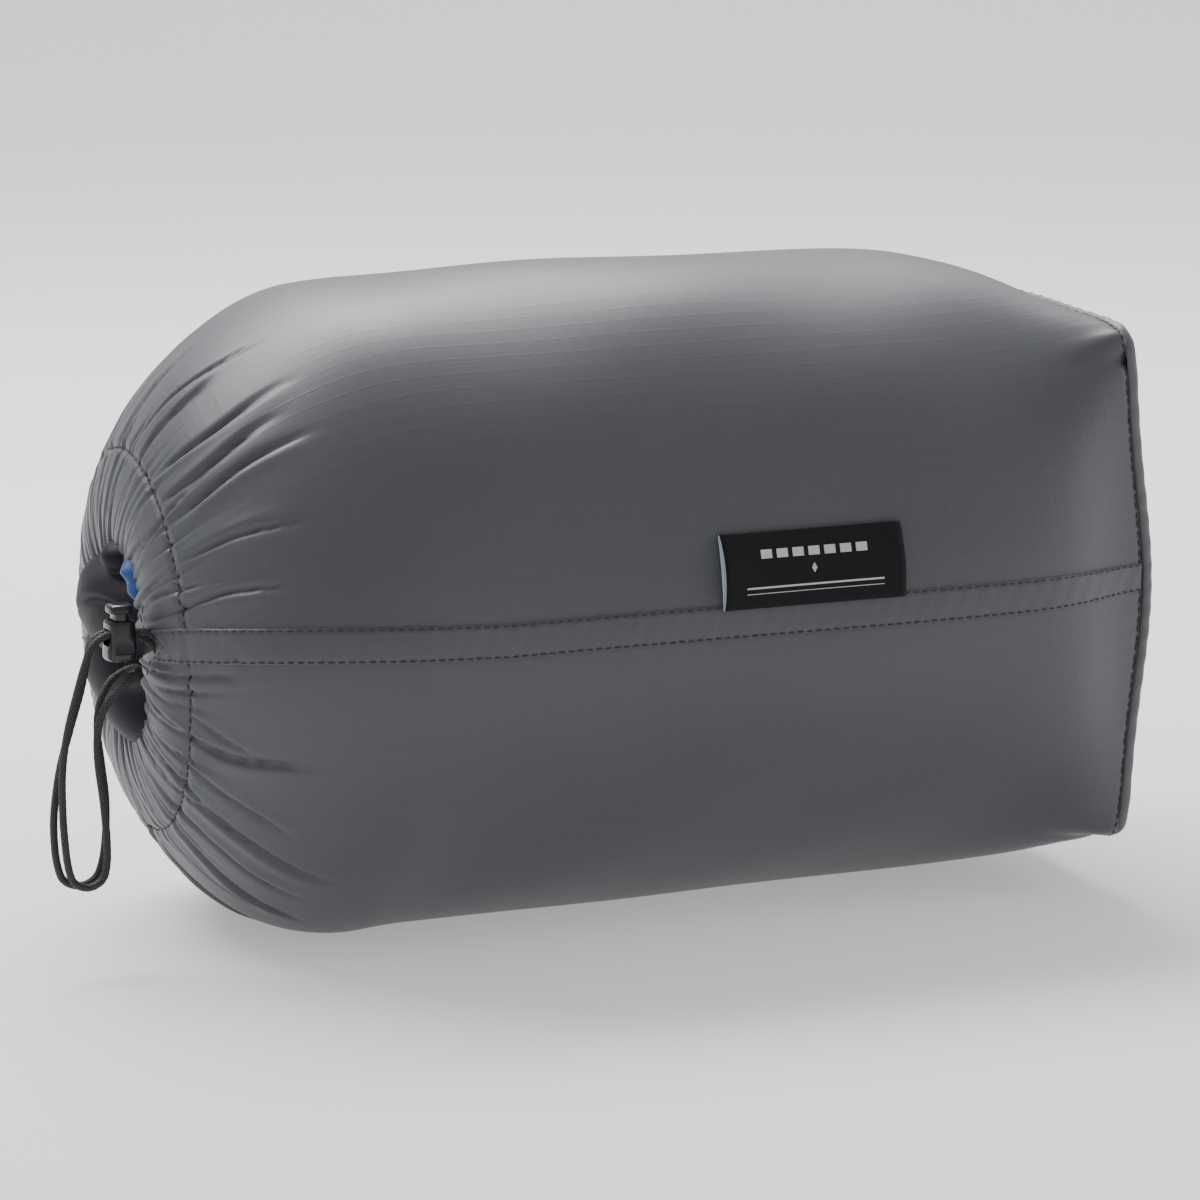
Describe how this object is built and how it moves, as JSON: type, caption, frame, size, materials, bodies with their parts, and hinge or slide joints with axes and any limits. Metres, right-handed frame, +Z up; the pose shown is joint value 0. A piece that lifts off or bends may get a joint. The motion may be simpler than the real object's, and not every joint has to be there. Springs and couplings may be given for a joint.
{
  "type": "camp quilt",
  "caption": "Down camp quilt stuffed into its round, square-based drawcord sack, with a gathered mouth, a push-button cord lock on a hanging cord loop, and a sewn-in label.",
  "frame": {"origin": "on the floor under the middle of the packed sack, cord left out", "axes": "+X along the sack from its gathered mouth to its square base, +Z up, -Y towards the side seam and label"},
  "size_m": [0.3042, 0.1742, 0.1711],
  "materials": {
    "sack_nylon": "grey ripstop nylon with a soft sheen",
    "label_tape": "black woven tape, pale inside",
    "cord_braid": "black braided round cord",
    "lock_plastic": "black moulded plastic",
    "spring_wire": "bright spring wire",
    "shell_nylon": "charcoal downproof nylon",
    "lining_nylon": "blue downproof nylon",
    "down_fill": "compressed white down",
    "baffle_mesh": "sheer grey netting"
  },
  "bodies": {
    "sack": {"sack_side_panel": "sack_nylon", "sack_base_panel": "sack_nylon", "base_seam_binding": "sack_nylon", "side_seam_fell": "sack_nylon", "drawcord_channel": "sack_nylon", "drawcord_in_channel": "cord_braid", "quilt_outer_shell": "shell_nylon", "quilt_lining": "lining_nylon", "upper_down_chamber_1": "down_fill", "upper_down_chamber_2": "down_fill", "upper_down_chamber_3": "down_fill", "upper_down_chamber_4": "down_fill", "upper_baffle_wall_1": "baffle_mesh", "upper_baffle_wall_2": "baffle_mesh", "upper_baffle_wall_3": "baffle_mesh", "lower_down_chamber_1": "down_fill", "lower_down_chamber_2": "down_fill", "lower_down_chamber_3": "down_fill", "lower_down_chamber_4": "down_fill", "lower_baffle_wall_1": "baffle_mesh", "lower_baffle_wall_2": "baffle_mesh", "lower_baffle_wall_3": "baffle_mesh"},
    "lock": {"cord_lock_body": "lock_plastic", "cord_lock_spring": "spring_wire", "drawcord_loop": "cord_braid"},
    "button": {"cord_lock_plunger": "lock_plastic"},
    "label": {"woven_label": "label_tape"}
  },
  "joints": [
    {"name": "lock_slide", "type": "slide", "parent": "sack", "child": "lock", "axis": [-1, 0, 0], "range_m": [0, 0.012]},
    {"name": "button_press", "type": "slide", "parent": "lock", "child": "button", "axis": [0, 0, -1], "range_m": [0, 0.0018], "stiffness_N_per_m": 1200, "springref_m": -0.0012, "deforming": ["cord_lock_spring"]},
    {"name": "label_lift", "type": "hinge", "parent": "sack", "child": "label", "pos_m": [0.02746, -0.08692, 0.0928], "axis": [1, 0, 0], "range_deg": [0, 140]}
  ]
}
